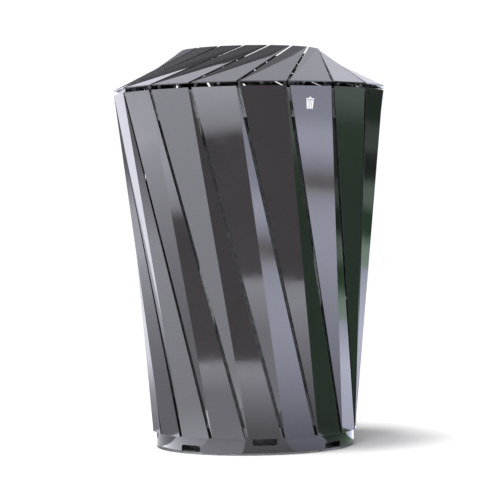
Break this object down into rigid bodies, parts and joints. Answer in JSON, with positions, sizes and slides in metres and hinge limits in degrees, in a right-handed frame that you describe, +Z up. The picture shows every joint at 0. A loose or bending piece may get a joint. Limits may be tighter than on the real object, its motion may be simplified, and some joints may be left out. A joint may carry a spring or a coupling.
{
  "type": "litter bin",
  "caption": "Tapered litter bin of tall folded steel slats set at a twist, with a hinged slatted hood, an open throat, a cam lock and a lift-out liner.",
  "frame": {"origin": "on the bin's vertical axis at the ground, in the middle of the base plate's underside", "axes": "+Z up; -Y towards the front, where the lock is; +Y towards the hinge; +X to the right seen from the front"},
  "size_m": [0.6884, 0.6946, 1],
  "materials": {
    "gloss_powder_coat": "gloss anthracite powder coat",
    "galvanised_steel": "hot-dip galvanised, matt spangle",
    "zinc_plated_steel": "bright zinc plate",
    "stainless_steel": "satin stainless",
    "buffer_rubber": "grey moulded rubber"
  },
  "bodies": {
    "body": {"base_plate": "galvanised_steel", "base_ring": "gloss_powder_coat", "uprights": "galvanised_steel", "upper_hoop": "galvanised_steel", "body_slat_1": "gloss_powder_coat", "body_slat_2": "gloss_powder_coat", "body_slat_3": "gloss_powder_coat", "body_slat_4": "gloss_powder_coat", "body_slat_5": "gloss_powder_coat", "body_slat_6": "gloss_powder_coat", "body_slat_7": "gloss_powder_coat", "body_slat_8": "gloss_powder_coat", "body_slat_9": "gloss_powder_coat", "body_slat_10": "gloss_powder_coat", "body_slat_11": "gloss_powder_coat", "body_slat_12": "gloss_powder_coat", "body_slat_13": "gloss_powder_coat", "body_slat_14": "gloss_powder_coat", "body_slat_15": "gloss_powder_coat", "body_slat_16": "gloss_powder_coat", "body_slat_17": "gloss_powder_coat", "body_slat_18": "gloss_powder_coat", "body_slat_fixings": "zinc_plated_steel", "lid_buffers": "buffer_rubber", "hinge_body_leaf": "gloss_powder_coat", "hinge_pin": "stainless_steel", "frame_screws": "zinc_plated_steel", "lock_plate": "galvanised_steel", "lock_bush": "stainless_steel", "liner": "galvanised_steel", "handle_ears": "galvanised_steel"},
    "hood": {"hood_eave_ring": "galvanised_steel", "hood_throat_ring": "galvanised_steel", "hood_slat_1": "gloss_powder_coat", "hood_slat_2": "gloss_powder_coat", "hood_slat_3": "gloss_powder_coat", "hood_slat_4": "gloss_powder_coat", "hood_slat_5": "gloss_powder_coat", "hood_slat_6": "gloss_powder_coat", "hood_slat_7": "gloss_powder_coat", "hood_slat_8": "gloss_powder_coat", "hood_slat_9": "gloss_powder_coat", "hood_slat_10": "gloss_powder_coat", "hood_slat_11": "gloss_powder_coat", "hood_slat_12": "gloss_powder_coat", "hood_slat_13": "gloss_powder_coat", "hood_slat_14": "gloss_powder_coat", "hood_slat_15": "gloss_powder_coat", "hood_slat_16": "gloss_powder_coat", "hood_slat_17": "gloss_powder_coat", "hood_slat_18": "gloss_powder_coat", "hood_slat_fixings": "zinc_plated_steel", "hinge_hood_leaf": "gloss_powder_coat", "hood_screws": "zinc_plated_steel", "lock_keeper": "galvanised_steel"},
    "lock": {"lock_spindle": "stainless_steel", "lock_cam": "zinc_plated_steel"},
    "handle_left": {"liner_handle_left": "zinc_plated_steel"},
    "handle_right": {"liner_handle_right": "zinc_plated_steel"}
  },
  "joints": [
    {"name": "hood_hinge", "type": "hinge", "parent": "body", "child": "hood", "pos_m": [0, 0.34876, 0.896], "axis": [-1, 0, 0], "range_deg": [0, 100]},
    {"name": "lock_turn", "type": "hinge", "parent": "body", "child": "lock", "pos_m": [0.06077, -0.29218, 0.838], "axis": [-0.2036, 0.979, 0], "range_deg": [0, 90]},
    {"name": "handle_left_swing", "type": "hinge", "parent": "body", "child": "handle_left", "pos_m": [-0.24201, 0, 0.79], "axis": [0, -1, 0], "range_deg": [0, 170]},
    {"name": "handle_right_swing", "type": "hinge", "parent": "body", "child": "handle_right", "pos_m": [0.24201, 0, 0.79], "axis": [0, 1, 0], "range_deg": [0, 170]}
  ]
}
